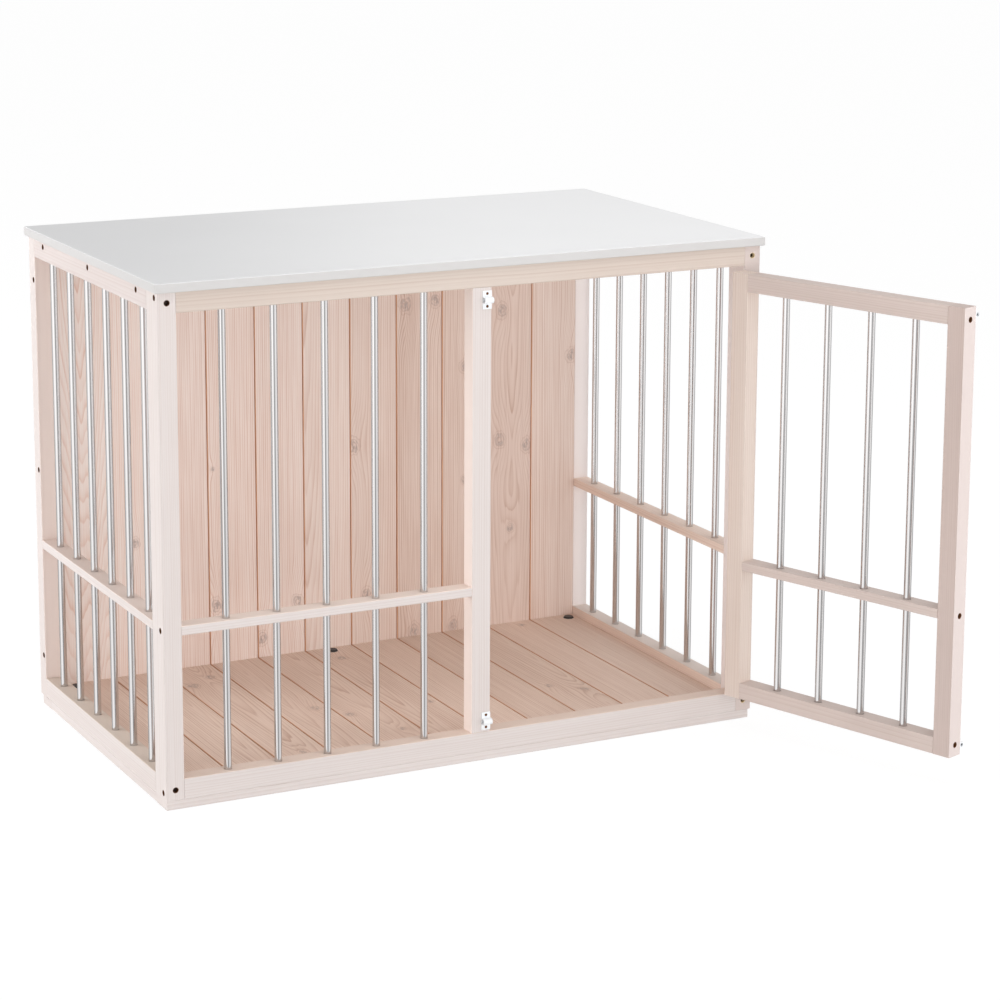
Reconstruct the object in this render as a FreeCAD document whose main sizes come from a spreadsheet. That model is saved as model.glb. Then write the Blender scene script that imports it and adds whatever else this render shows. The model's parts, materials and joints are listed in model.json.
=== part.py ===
import FreeCAD, Part
import math
import os
import re

import Sketcher

# Sizes that can be set one by one, in millimetres, degrees and counts
SIZES = {
    # The box over the four posts, and the lid board that lies on it
    "crate_width": 1076,
    "crate_depth": 628,
    "crate_height": 845,
    "lid_thick": 15,
    "lid_overhang": 6,
    "lid_ease": 1,
    "cleat_width": 25,
    "cleat_height": 19,
    "cleat_screw_end": 46,
    # Battens that the crate stands on
    "base_height": 15,
    "base_batten_width": 45,
    "base_right_inset": 5,
    "base_back_inset": 13,
    # Posts, rails and the divider beside the doorway
    "post_width": 30,
    "front_post_depth": 50,
    "rear_post_depth": 30,
    "rail_depth": 30,
    "top_rail_height": 33,
    "bottom_rail_height": 34,
    "mid_rail_height": 15,
    "mid_rail_level": 284,
    "divider_width": 34,
    "left_bay_share": 0.498,
    "timber_ease": 0.8,
    # Tongue and groove boards of the floor and the back wall
    "board_count": 11,
    "wall_board_thick": 18,
    "floor_board_thick": 18,
    "tongue_length": 5,
    "tongue_thick": 5,
    "tongue_play": 0.2,
    "joint_bevel": 1,
    "joint_gap": 1,
    "wall_screw_end": 74,
    # Round bars and the sockets that they stand in
    "bar_diameter": 12,
    "bar_play": 0.5,
    "socket_depth": 12,
    "front_bar_count": 5,
    "front_bar_end": 80,
    "side_bar_count": 6,
    "side_bar_end": 54,
    "door_bar_count": 4,
    "door_bar_end": 71,
    # Door, and the angle from shut at which it stands
    "door_open": 109,
    "door_thick": 30,
    "door_stile_width": 33,
    "door_top_rail_height": 30,
    "door_bottom_rail_height": 28,
    "door_mid_rail_height": 15.5,
    "door_mid_rail_level": 280.5,
    "door_hinge_gap": 2,
    "door_latch_gap": 2,
    "door_top_gap": 6,
    "door_bottom_gap": 4,
    # Butt hinges between the right post and the door
    "hinge_height": 60,
    "hinge_end": 80,
    "hinge_leaf_width": 22,
    "hinge_leaf_thick": 1.2,
    "hinge_knuckle_diameter": 6.4,
    "hinge_knuckle_gap": 0.4,
    "hinge_stand_off": 0.4,
    "hinge_pin_diameter": 4,
    "hinge_pin_play": 0.05,
    "hinge_pin_head": 1.5,
    # Barrel bolts on the door and their keepers on the divider
    "bolt_diameter": 6,
    "bolt_length": 44,
    "bolt_tip_ease": 1,
    "bolt_inset": 2,
    "bolt_travel": 18,
    "bolt_play": 0.3,
    "bolt_axis_height": 5.2,
    "bolt_edge": 14.5,
    "knob_from_tip": 32,
    "knob_diameter": 4,
    "knob_length": 10,
    "housing_length": 42,
    "housing_height": 26,
    "housing_inset": 0.5,
    "housing_wall": 1.5,
    "keeper_width": 16,
    "keeper_height": 30,
    "keeper_play": 0.8,
    "strap_thick": 1.2,
    # Connector screws, sunk below the timber's face
    "screw_diameter": 5,
    "screw_head_diameter": 8.4,
    "screw_head_thick": 3,
    "screw_recess": 6,
    "screw_grip": 25,
    "cleat_screw_grip": 18,
    "screw_play": 0.15,
    "screw_cross_shift": 7,
    "door_screw_shift": 5,
    # Sides that a bored hole is drawn with, for bars and for screws
    "socket_sides": 12,
    "screw_sides": 8,
    # Black caps over the screws that hold the floor down
    "cap_diameter": 20,
    "cap_crown_diameter": 16,
    "cap_height": 3,
    "cap_side_distance": 19,
    "cap_end_distance": 20,
}

# Places and lengths that follow from the sizes; the origin is under the middle of the crate, front to -Y
DERIVED = {
    "left_x": "-crate_width / 2",
    "right_x": "crate_width / 2",
    "front_y": "-crate_depth / 2",
    "back_y": "crate_depth / 2",
    "clear_left": "post_width - crate_width / 2",
    "clear_width": "crate_width - 2 * post_width",
    "clear_right": "crate_width / 2 - post_width",
    "rail_back_y": "front_y + rail_depth",
    "side_start": "front_y + front_post_depth",
    "side_length": "crate_depth - front_post_depth - rear_post_depth",
    "wall_y": "back_y - rear_post_depth",
    "lid_level": "crate_height - lid_thick",
    "post_length": "lid_level - base_height",
    "top_rail_level": "lid_level - top_rail_height",
    "bottom_rail_top": "base_height + bottom_rail_height",
    "top_screw_level": "top_rail_level + top_rail_height / 2",
    "bottom_screw_level": "base_height + bottom_rail_height / 2",
    "mid_screw_level": "mid_rail_level + mid_rail_height / 2",
    "left_bay": "clear_width * left_bay_share",
    "divider_x": "clear_left + left_bay",
    "board_cover": "clear_width / board_count",
    "floor_level": "base_height + floor_board_thick",
    "front_bar_pitch": "(left_bay - 2 * front_bar_end) / (front_bar_count - 1)",
    "side_bar_pitch": "(side_length - 2 * side_bar_end) / (side_bar_count - 1)",
    "bar_hole": "bar_diameter + 2 * bar_play",
    "door_width": "clear_width - left_bay - divider_width - door_hinge_gap - door_latch_gap",
    "door_bottom": "bottom_rail_top + door_bottom_gap",
    "door_top": "top_rail_level - door_top_gap",
    "door_rail_length": "door_width - 2 * door_stile_width",
    "door_bar_pitch": "(door_rail_length - 2 * door_bar_end) / (door_bar_count - 1)",
    "hinge_offset": "hinge_knuckle_diameter / 2 + hinge_stand_off",
    "hinge_x": "clear_right - door_hinge_gap / 2",
    "hinge_y": "front_y - hinge_offset",
    "hinge_low": "door_bottom + hinge_end",
    "hinge_high": "door_top - hinge_end - hinge_height",
    "knuckle_length": "(hinge_height - 2 * hinge_knuckle_gap) / 3",
    "door_edge_x": "-door_hinge_gap / 2",
    "door_free_x": "door_edge_x - door_width",
    "door_rail_x": "door_free_x + door_stile_width",
    "bolt_low": "door_bottom + bolt_edge",
    "bolt_high": "door_top - bolt_edge",
    "bolt_bore": "bolt_diameter + 2 * bolt_play",
    "keeper_bore": "bolt_diameter + 2 * keeper_play",
}

doc = FreeCAD.newDocument("pet_crate")
sheet = doc.addObject("Spreadsheet::Sheet", "Sizes")
for row, (alias, value) in enumerate(SIZES.items(), 1):
    sheet.set(f"A{row}", alias)
    sheet.set(f"B{row}", str(value))
    sheet.setAlias(f"B{row}", alias)
for row, (alias, text) in enumerate(DERIVED.items(), 1):
    sheet.set(f"D{row}", alias)
    sheet.set(f"E{row}", f"={text}")
    sheet.setAlias(f"E{row}", alias)
doc.recompute()

ALIASES = set(SIZES) | set(DERIVED)
TIMBERS = {}
NODES = {}


def formula(text):
    """An expression for the document, with each size's name pointed at the sheet."""
    return re.sub(r"[a-z_]\w*", lambda m: f"Sizes.{m[0]}" if m[0] in ALIASES else m[0], text)


def number(text):
    """The present value of a formula made of size names and arithmetic."""
    filled = re.sub(r"[a-z_]\w*", lambda m: f"({float(getattr(sheet, m[0])):.9f})", text)
    return FreeCAD.Units.Quantity(filled).Value


def bind(thing, prop, text):
    thing.setExpression(prop, formula(text))


def place(thing, x, y, z):
    """Fixed on the crate, at a point of the crate's frame."""
    for axis, text in zip("xyz", (x, y, z)):
        bind(thing, f"Placement.Base.{axis}", text)


def place_on_door(thing, x, y, z):
    """Carried by the door: x and y count from the hinge pins with the door shut, then turn with it."""
    turn = "door_open * 1 deg"
    thing.Placement = FreeCAD.Placement(FreeCAD.Vector(), FreeCAD.Rotation(FreeCAD.Vector(0, 0, 1), 1))
    bind(thing, "Placement.Base.x", f"hinge_x + ({x}) * cos({turn}) - ({y}) * sin({turn})")
    bind(thing, "Placement.Base.y", f"hinge_y + ({x}) * sin({turn}) + ({y}) * cos({turn})")
    bind(thing, "Placement.Base.z", z)
    bind(thing, "Placement.Rotation.Angle", turn)


def new_body(label):
    body = doc.addObject("PartDesign::Body", label)
    body.Label = label
    return body


def sketch_on(body, role, name, offset="0"):
    """A sketch on one of the body's own origin planes, or at an offset along that plane's normal."""
    sketch = body.newObject("Sketcher::SketchObject", name)
    plane = next(feature for feature in body.Origin.OriginFeatures if feature.Role == role)
    sketch.AttachmentSupport = [(plane, "")]
    sketch.MapMode = "FlatFace"
    if offset != "0":
        bind(sketch, "AttachmentOffset.Base.z", offset)
    return sketch


def fix_point(sketch, element, point, x, y):
    """Dimensions one point of a sketch from the sketch's origin."""
    for kind, text, axis in (("DistanceX", x, -2), ("DistanceY", y, -1)):
        if text == "0":
            sketch.addConstraint(Sketcher.Constraint("PointOnObject", element, point, axis))
        else:
            index = sketch.addConstraint(Sketcher.Constraint(kind, -1, 1, element, point, number(text)))
            bind(sketch, f"Constraints[{index}]", text)


def vector(x, y):
    return FreeCAD.Vector(number(x), number(y), 0)


def outline(sketch, corners):
    """A closed run of straight lines through the corners."""
    points = [vector(x, y) for x, y in corners]
    edges = []
    for start, end in zip(points, points[1:] + points[:1]):
        edges.append(sketch.addGeometry(Part.LineSegment(start, end)))
    for edge, following in zip(edges, edges[1:] + edges[:1]):
        sketch.addConstraint(Sketcher.Constraint("Coincident", edge, 2, following, 1))
    for edge, (x, y) in zip(edges, corners):
        fix_point(sketch, edge, 1, x, y)


def circle(sketch, x, y, diameter):
    index = sketch.addGeometry(Part.Circle(vector(x, y), FreeCAD.Vector(0, 0, 1), number(diameter) / 2))
    size = sketch.addConstraint(Sketcher.Constraint("Diameter", index, number(diameter)))
    bind(sketch, f"Constraints[{size}]", diameter)
    fix_point(sketch, index, 3, x, y)


def round_corners(sides):
    """Corners of a regular outline whose flats touch a circle of diameter 1 about the origin."""
    half_step = math.pi / sides
    reach = 0.5 / math.cos(half_step)
    angles = [half_step * (2 * index + 1) for index in range(sides)]
    return [(reach * math.cos(angle), reach * math.sin(angle)) for angle in angles]


def bored(sketch, x, y, diameter, sides):
    """A hole drawn with a few flat sides, which all stand clear of the given diameter."""
    corners = round_corners(int(number(sides)))
    size = f"({diameter})"
    outline(sketch, [(f"{x} + {size} * ({u:.6f})", f"{y} + {size} * ({v:.6f})") for u, v in corners])


def feature(body, kind, sketch, length, reverse=False):
    """A pad or pocket of a sketch, over a length."""
    made = body.newObject(f"PartDesign::{kind}", f"{sketch.Name}_{kind.lower()}")
    made.Profile = sketch
    made.Reversed = reverse
    bind(made, "Length", length)
    return made


def eased_rectangle(width, height):
    """A sawn section whose four corners are planed off a little."""
    ease = "timber_ease"
    far_x, far_y = f"{width} - {ease}", f"{height} - {ease}"
    return [(ease, "0"), (far_x, "0"), (width, ease), (width, far_y),
            (far_x, height), (ease, height), ("0", far_y), ("0", ease)]


def timber(label, along, origin, size, where=place):
    """A planed stick: its section runs along one axis from a corner at origin."""
    role, first, second, run = {
        "x": ("YZ_Plane", 1, 2, 0),
        "y": ("XZ_Plane", 0, 2, 1),
        "z": ("XY_Plane", 0, 1, 2),
    }[along]
    body = new_body(label)
    sketch = sketch_on(body, role, f"{label}_section")
    outline(sketch, eased_rectangle(size[first], size[second]))
    feature(body, "Pad", sketch, size[run], reverse=along == "y")
    where(body, *origin)
    TIMBERS[label] = (body, origin, size)
    NODES[label] = body


# Face of a piece, as its plane, the axis it faces, whether it is the far one, and the way a pocket cuts in
FACES = {
    "left": ("YZ_Plane", "x", False, True),
    "right": ("YZ_Plane", "x", True, False),
    "front": ("XZ_Plane", "y", False, False),
    "back": ("XZ_Plane", "y", True, True),
    "bottom": ("XY_Plane", "z", False, True),
    "top": ("XY_Plane", "z", True, False),
}


def face_sketch(label, face, name):
    body, origin, size = TIMBERS[label]
    role, axis, far, reverse = FACES[face]
    sign = "-" if axis == "y" else ""
    return sketch_on(body, role, name, f"{sign}({size['xyz'.index(axis)]})" if far else "0")


def drill(label, face, spots, diameter, depth, sides, name):
    """Holes sunk into one face, at spots counted from the piece's own corner."""
    sketch = face_sketch(label, face, f"{label}_{face}_{name}")
    for x, y in spots:
        bored(sketch, x, y, diameter, sides)
    return sketch, feature(TIMBERS[label][0], "Pocket", sketch, depth, FACES[face][3])


def bar_row(label, face, along, end, across, pitch, count, depth):
    """One socket for a bar, then the row of them."""
    spot = (end, across) if along == "H_Axis" else (across, end)
    sketch, pocket = drill(label, face, [spot], "bar_hole", depth, "socket_sides", "socket")
    body = TIMBERS[label][0]
    row = body.newObject("PartDesign::LinearPattern", f"{label}_sockets")
    row.Originals = [pocket]
    row.Direction = (sketch, [along])
    bind(row, "Length", f"{pitch} * ({count} - 1)")
    bind(row, "Occurrences", count)
    body.Tip = row


def group(label, members):
    """Like pieces that share a node, each still a solid of its own."""
    node = doc.addObject("Part::Compound", label)
    node.Label = label
    node.Links = members
    NODES[label] = node
    return node


def bars(label, count, spot, low, high, where=place):
    """A row of round bars; spot gives the place of bar number i."""
    row = []
    for index in range(int(number(count))):
        bar = doc.addObject("Part::Cylinder", f"{label}_{index + 1}")
        bind(bar, "Radius", "bar_diameter / 2")
        bind(bar, "Height", f"{high} - ({low}) + 2 * socket_depth")
        where(bar, *spot(index), f"{low} - socket_depth")
        row.append(bar)
    group(label, row)


# Lid: a laminated board with softened edges, and the two cleats that hold it to the side rails
lid = new_body("top_board")
lid_outline = sketch_on(lid, "XY_Plane", "lid_outline")
lid_width = "crate_width + 2 * lid_overhang"
lid_depth = "crate_depth + 2 * lid_overhang"
outline(lid_outline, [("0", "0"), (lid_width, "0"), (lid_width, lid_depth), ("0", lid_depth)])
lid_pad = feature(lid, "Pad", lid_outline, "lid_thick")
doc.recompute()
lid_edge = lid.newObject("PartDesign::Chamfer", "lid_edge")
lid_edge.Base = (lid_pad, ["Face5", "Face6"])
bind(lid_edge, "Size", "lid_ease")
place(lid, "left_x - lid_overhang", "front_y - lid_overhang", "lid_level")
NODES["top_board"] = lid

cleat = ("cleat_width", "side_length", "cleat_height")
cleat_level = "lid_level - cleat_height"
timber("left_top_cleat", "y", ("clear_left", "side_start", cleat_level), cleat)
timber("right_top_cleat", "y", ("clear_right - cleat_width", "side_start", cleat_level), cleat)
group("top_cleats", [NODES.pop("left_top_cleat"), NODES.pop("right_top_cleat")])

# Base: two long battens under front and back, three short ones across between them
long_batten = ("crate_width - base_right_inset", "base_batten_width", "base_height")
back_batten_y = "back_y - base_back_inset - base_batten_width"
timber("base_front_batten", "x", ("left_x", "front_y", "0"), long_batten)
timber("base_back_batten", "x", ("left_x", back_batten_y, "0"), long_batten)
cross_y = "front_y + base_batten_width"
cross_batten = ("base_batten_width", f"{back_batten_y} - ({cross_y})", "base_height")
for side, x in (("left", "left_x"),
                ("centre", "-base_batten_width / 2"),
                ("right", "right_x - base_right_inset - base_batten_width")):
    timber(f"base_{side}_batten", "y", (x, cross_y, "0"), cross_batten)
group("base_cross_battens", [NODES.pop(f"base_{side}_batten") for side in ("left", "centre", "right")])

# Posts: deep ones at the front, square ones at the rear
front_post = ("post_width", "front_post_depth", "post_length")
rear_post = ("post_width", "rear_post_depth", "post_length")
timber("front_left_post", "z", ("left_x", "front_y", "base_height"), front_post)
timber("front_right_post", "z", ("clear_right", "front_y", "base_height"), front_post)
timber("rear_left_post", "z", ("left_x", "wall_y", "base_height"), rear_post)
timber("rear_right_post", "z", ("clear_right", "wall_y", "base_height"), rear_post)

# Front: rails right across above and below, and a divider with a thin mid rail to its left
timber("front_top_rail", "x", ("clear_left", "front_y", "top_rail_level"),
       ("clear_width", "rail_depth", "top_rail_height"))
timber("front_bottom_rail", "x", ("clear_left", "front_y", "base_height"),
       ("clear_width", "rail_depth", "bottom_rail_height"))
timber("front_mid_rail", "x", ("clear_left", "front_y", "mid_rail_level"),
       ("left_bay", "rail_depth", "mid_rail_height"))
timber("divider_post", "z", ("divider_x", "front_y", "bottom_rail_top"),
       ("divider_width", "rail_depth", "top_rail_level - bottom_rail_top"))

# Sides: three rails each between the posts
for side, x in (("left", "left_x"), ("right", "right_x - rail_depth")):
    for name, level, height in (("top", "top_rail_level", "top_rail_height"),
                                ("mid", "mid_rail_level", "mid_rail_height"),
                                ("bottom", "base_height", "bottom_rail_height")):
        timber(f"{side}_{name}_rail", "y", (x, "side_start", level), ("rail_depth", "side_length", height))

# Sockets and bars of the front and the sides
for label, face, depth in (("front_top_rail", "bottom", "socket_depth"),
                           ("front_mid_rail", "top", "mid_rail_height"),
                           ("front_bottom_rail", "top", "socket_depth")):
    bar_row(label, face, "H_Axis", "front_bar_end", "rail_depth / 2",
            "front_bar_pitch", "front_bar_count", depth)
bars("front_bars", "front_bar_count",
     lambda i: (f"clear_left + front_bar_end + {i} * front_bar_pitch", "front_y + rail_depth / 2"),
     "bottom_rail_top", "top_rail_level")
for side, x in (("left", "left_x + rail_depth / 2"), ("right", "right_x - rail_depth / 2")):
    for name, face, depth in (("top", "bottom", "socket_depth"),
                              ("mid", "top", "mid_rail_height"),
                              ("bottom", "top", "socket_depth")):
        bar_row(f"{side}_{name}_rail", face, "V_Axis", "side_bar_end", "rail_depth / 2",
                "side_bar_pitch", "side_bar_count", depth)
    bars(f"{side}_bars", "side_bar_count",
         lambda i, x=x: (x, f"side_start + side_bar_end + {i} * side_bar_pitch"),
         "bottom_rail_top", "top_rail_level")


def board_section(thick, tongue, groove, face_up):
    """A matched board across its width: bevelled show face, tongue on one edge, groove in the other.
    The edges of neighbours stand a little apart, with the tongue reaching across."""
    low, high = f"({thick} - tongue_thick) / 2", f"({thick} + tongue_thick) / 2"
    tip, root = "board_cover + tongue_length", "tongue_length + tongue_play"
    start = "joint_gap" if groove else "0"
    corners = [(f"{start} + joint_bevel", "0"),
               ("board_cover - joint_bevel", "0"), ("board_cover", "joint_bevel")]
    if tongue:
        corners += [("board_cover", low), (tip, low), (tip, high), ("board_cover", high)]
    corners += [("board_cover", thick), (start, thick)]
    if groove:
        slot_low, slot_high = f"{low} - tongue_play", f"{high} + tongue_play"
        corners += [(start, slot_high), (root, slot_high), (root, slot_low), (start, slot_low)]
    corners.append((start, "joint_bevel"))
    if not face_up:
        return corners
    turned_over = {"0": thick, thick: "0"}
    return [(x, turned_over.get(y, f"{thick} - ({y})")) for x, y in corners]


def board(label, along, index, origin, size, face_up):
    """One of a row of matched boards; the outer edges of the row are left plain."""
    body = new_body(label)
    sketch = sketch_on(body, "XZ_Plane" if along == "y" else "XY_Plane", f"{label}_section")
    thick, run = (size[2], size[1]) if along == "y" else (size[1], size[2])
    last = int(number("board_count")) - 1
    outline(sketch, board_section(thick, index < last, index > 0, face_up))
    feature(body, "Pad", sketch, run, reverse=along == "y")
    place(body, *origin)
    TIMBERS[label] = (body, origin, size)
    NODES[label] = body


# Back wall and floor: matched boards, upright between the rear posts and flat from front to back
for index in range(int(number("board_count"))):
    x = f"clear_left + {index} * board_cover"
    board(f"back_board_{index + 1:02d}", "z", index, (x, "wall_y", "base_height"),
          ("board_cover", "wall_board_thick", "post_length"), face_up=False)
    board(f"floor_board_{index + 1:02d}", "y", index, (x, "rail_back_y", "base_height"),
          ("board_cover", "wall_y - rail_back_y", "floor_board_thick"), face_up=True)

# Floor caps: low black caps along the back wall
caps = []
for side, x in (("left", "clear_left + cap_side_distance"), ("centre", "0"),
                ("right", "clear_right - cap_side_distance")):
    cap = doc.addObject("Part::Cone", f"floor_cap_{side}")
    bind(cap, "Radius1", "cap_diameter / 2")
    bind(cap, "Radius2", "cap_crown_diameter / 2")
    bind(cap, "Height", "cap_height")
    place(cap, x, "wall_y - cap_end_distance", "floor_level")
    caps.append(cap)
group("floor_caps", caps)

# Door frame: two stiles with three rails between, all counted from the hinge pins with the door shut
door_length = "door_top - door_bottom"
stile = ("door_stile_width", "door_thick", door_length)
hinge_stile_x = "door_edge_x - door_stile_width"
timber("door_hinge_stile", "z", (hinge_stile_x, "hinge_offset", "door_bottom"), stile, place_on_door)
timber("door_free_stile", "z", ("door_free_x", "hinge_offset", "door_bottom"), stile, place_on_door)
for name, level, height, face, depth in (
        ("top", "door_top - door_top_rail_height", "door_top_rail_height", "bottom", "socket_depth"),
        ("mid", "door_mid_rail_level", "door_mid_rail_height", "top", "door_mid_rail_height"),
        ("bottom", "door_bottom", "door_bottom_rail_height", "top", "socket_depth")):
    timber(f"door_{name}_rail", "x", ("door_rail_x", "hinge_offset", level),
           ("door_rail_length", "door_thick", height), place_on_door)
    bar_row(f"door_{name}_rail", face, "H_Axis", "door_bar_end", "door_thick / 2",
            "door_bar_pitch", "door_bar_count", depth)
bars("door_bars", "door_bar_count",
     lambda i: (f"door_rail_x + door_bar_end + {i} * door_bar_pitch", "hinge_offset + door_thick / 2"),
     "door_bottom + door_bottom_rail_height", "door_top - door_top_rail_height", place_on_door)


def box(name, origin, size):
    made = doc.addObject("Part::Box", name)
    for prop, text in zip(("Length", "Width", "Height"), size):
        bind(made, prop, text)
    place(made, *origin)
    return made


def cylinder(name, origin, diameter, height):
    made = doc.addObject("Part::Cylinder", name)
    bind(made, "Radius", f"({diameter}) / 2")
    bind(made, "Height", height)
    place(made, *origin)
    return made


def fused(name, shapes):
    made = doc.addObject("Part::MultiFuse", name)
    made.Shapes = shapes
    return made


def hinge_leaf(name, plate_x, level, knuckles):
    """A hinge plate with its own knuckles rolled round the pin, counted from the pin with the door shut."""
    plate = box(f"{name}_plate", (plate_x, "hinge_offset", level),
                ("hinge_leaf_thick", "hinge_leaf_width", "hinge_height"))
    pieces = [plate]
    for index in knuckles:
        start = f"{level} + {index} * (knuckle_length + hinge_knuckle_gap)"
        pieces.append(box(f"{name}_neck_{index}", (plate_x, "0", start),
                          ("hinge_leaf_thick", "hinge_offset", "knuckle_length")))
        eye = cylinder(f"{name}_eye_{index}", ("0", "0", start), "hinge_knuckle_diameter", "knuckle_length")
        pieces.append(eye)
    leaf = doc.addObject("Part::Cut", name)
    leaf.Base = fused(f"{name}_rolled", pieces)
    bore = "hinge_pin_diameter + 2 * hinge_pin_play"
    leaf.Tool = cylinder(f"{name}_bore", ("0", "0", level), bore, "hinge_height")
    return leaf


# Hinges: post leaves with two knuckles, door leaves with one let into the stile, and headed pins
post_leaves, door_leaves, pins = [], [], []
for name, level in (("lower", "hinge_low"), ("upper", "hinge_high")):
    post_leaf = hinge_leaf(f"{name}_post_leaf", "door_hinge_gap / 2 - hinge_leaf_thick", level, (0, 2))
    place(post_leaf, "hinge_x", "hinge_y", "0")
    post_leaves.append(post_leaf)
    door_leaf = hinge_leaf(f"{name}_door_leaf", "door_edge_x - hinge_leaf_thick", level, (1,))
    place_on_door(door_leaf, "0", "0", "0")
    door_leaves.append(door_leaf)
    shank = cylinder(f"{name}_pin_shank", ("0", "0", level), "hinge_pin_diameter", "hinge_height")
    head = cylinder(f"{name}_pin_head", ("0", "0", f"{level} + hinge_height"),
                    "hinge_knuckle_diameter", "hinge_pin_head")
    pin = fused(f"{name}_pin", [shank, head])
    place(pin, "hinge_x", "hinge_y", "0")
    pins.append(pin)
    mortise = face_sketch("door_hinge_stile", "right", f"{name}_mortise")
    foot, head = f"{level} - door_bottom", f"{level} - door_bottom + hinge_height"
    outline(mortise, [("0", foot), ("hinge_leaf_width", foot), ("hinge_leaf_width", head), ("0", head)])
    feature(TIMBERS["door_hinge_stile"][0], "Pocket", mortise, "hinge_leaf_thick")
group("hinge_post_leaves", post_leaves)
group("hinge_door_leaves", door_leaves)
group("hinge_pins", pins)


def strap(name, length, height, radius, bore):
    """A plate with a half round tunnel for the bolt: crown outwards at y = 0, plate on the timber."""
    body = new_body(name)
    section = sketch_on(body, "YZ_Plane", f"{name}_section")
    back, front = f"bolt_axis_height + {radius}", f"bolt_axis_height + {radius} - strap_thick"
    upper, lower = f"{height} / 2 + {radius}", f"{height} / 2 - ({radius})"
    corners = [(radius, lower), (front, lower), (front, "0"), (back, "0"),
               (back, height), (front, height), (front, upper), (radius, upper)]
    points = [vector(x, y) for x, y in corners]
    for start, end in zip(points, points[1:]):
        section.addGeometry(Part.LineSegment(start, end))
    crown = vector("0", f"{height} / 2")
    arc = section.addGeometry(Part.Arc(points[-1], crown, points[0]))
    last = len(points) - 2
    for index in range(last):
        section.addConstraint(Sketcher.Constraint("Coincident", index, 2, index + 1, 1))
    section.addConstraint(Sketcher.Constraint("Coincident", last, 2, arc, 1))
    section.addConstraint(Sketcher.Constraint("Coincident", arc, 2, 0, 1))
    centre = section.addConstraint(Sketcher.Constraint("DistanceX", -1, 1, arc, 3, number(radius)))
    bind(section, f"Constraints[{centre}]", radius)
    for index, (x, y) in enumerate(corners[:-1]):
        fix_point(section, index, 1, x, y)
    fix_point(section, last, 2, *corners[-1])
    feature(body, "Pad", section, length)
    TIMBERS[name] = (body, ("0", "0", "0"), (length, back, height))
    hole = face_sketch(name, "left", f"{name}_bore")
    circle(hole, radius, f"{height} / 2", bore)
    feature(body, "Pocket", hole, length, reverse=True)
    return body


# Barrel bolts: a housing and a sliding bolt at each end of the free stile, with keepers on the divider
housing_radius = "(bolt_bore / 2 + housing_wall)"
keeper_radius = "(keeper_bore / 2 + housing_wall)"
housings, keepers = [], []
for name, level in (("upper", "bolt_high"), ("lower", "bolt_low")):
    housing = strap(f"{name}_housing", "housing_length", "housing_height", housing_radius, "bolt_bore")
    slot = face_sketch(f"{name}_housing", "front", f"{name}_slot")
    slot_end = "bolt_inset + knob_from_tip + knob_diameter / 2 + bolt_play"
    slot_start = "bolt_inset + knob_from_tip - knob_diameter / 2 - bolt_play - bolt_travel"
    slot_low = "housing_height / 2 - knob_diameter / 2 - bolt_play"
    slot_high = "housing_height / 2 + knob_diameter / 2 + bolt_play"
    outline(slot, [(slot_start, slot_low), (slot_end, slot_low),
                   (slot_end, slot_high), (slot_start, slot_high)])
    feature(housing, "Pocket", slot, housing_radius)
    place_on_door(housing, "door_free_x + housing_inset",
                  f"hinge_offset - bolt_axis_height - {housing_radius}", f"{level} - housing_height / 2")
    housings.append(housing)

    keeper = strap(f"{name}_keeper", "keeper_width", "keeper_height", keeper_radius, "keeper_bore")
    place(keeper, "divider_x + divider_width - keeper_width",
          f"front_y - bolt_axis_height - {keeper_radius}", f"{level} - keeper_height / 2")
    keepers.append(keeper)

    bolt = new_body(f"{name}_bolt")
    half = sketch_on(bolt, "XZ_Plane", f"{name}_bolt_half")
    edge = "bolt_diameter / 2"
    outline(half, [("0", "0"), ("bolt_length", "0"), ("bolt_length", edge),
                   ("bolt_tip_ease", edge), ("0", f"{edge} - bolt_tip_ease")])
    turned = bolt.newObject("PartDesign::Revolution", f"{name}_bolt_turned")
    turned.Profile = half
    turned.ReferenceAxis = (half, ["H_Axis"])
    turned.Angle = 360
    knob = sketch_on(bolt, "XZ_Plane", f"{name}_knob")
    circle(knob, "knob_from_tip", "0", "knob_diameter")
    feature(bolt, "Pad", knob, "knob_length")
    place_on_door(bolt, "door_free_x + housing_inset + bolt_inset", "hinge_offset - bolt_axis_height", level)
    NODES[f"{name}_bolt"] = bolt
group("bolt_housings", housings)
group("latch_keepers", keepers)


def rod(diameter, start, end):
    """A straight rod along +Z, inside the given diameter, with as many sides as a screw is drawn with."""
    sides = int(number("screw_sides"))
    size = number(diameter) * math.cos(math.pi / sides)
    corners = [FreeCAD.Vector(u * size, v * size, start) for u, v in round_corners(sides)]
    face = Part.Face(Part.makePolygon(corners + corners[:1]))
    return face.extrude(FreeCAD.Vector(0, 0, end - start))


def screw_shape(through, grip):
    """A connector screw, head at the origin and shank along +Z, for timber of the given thickness."""
    seat = number("screw_head_thick")
    end = number(f"{through} - screw_recess + {grip}")
    head = rod("screw_head_diameter", 0, seat)
    return head.fuse(rod("screw_diameter", seat, end)).removeSplitter().Solids[0]


holes = {}
screws = {"frame_screws": [], "door_screws": []}


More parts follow.
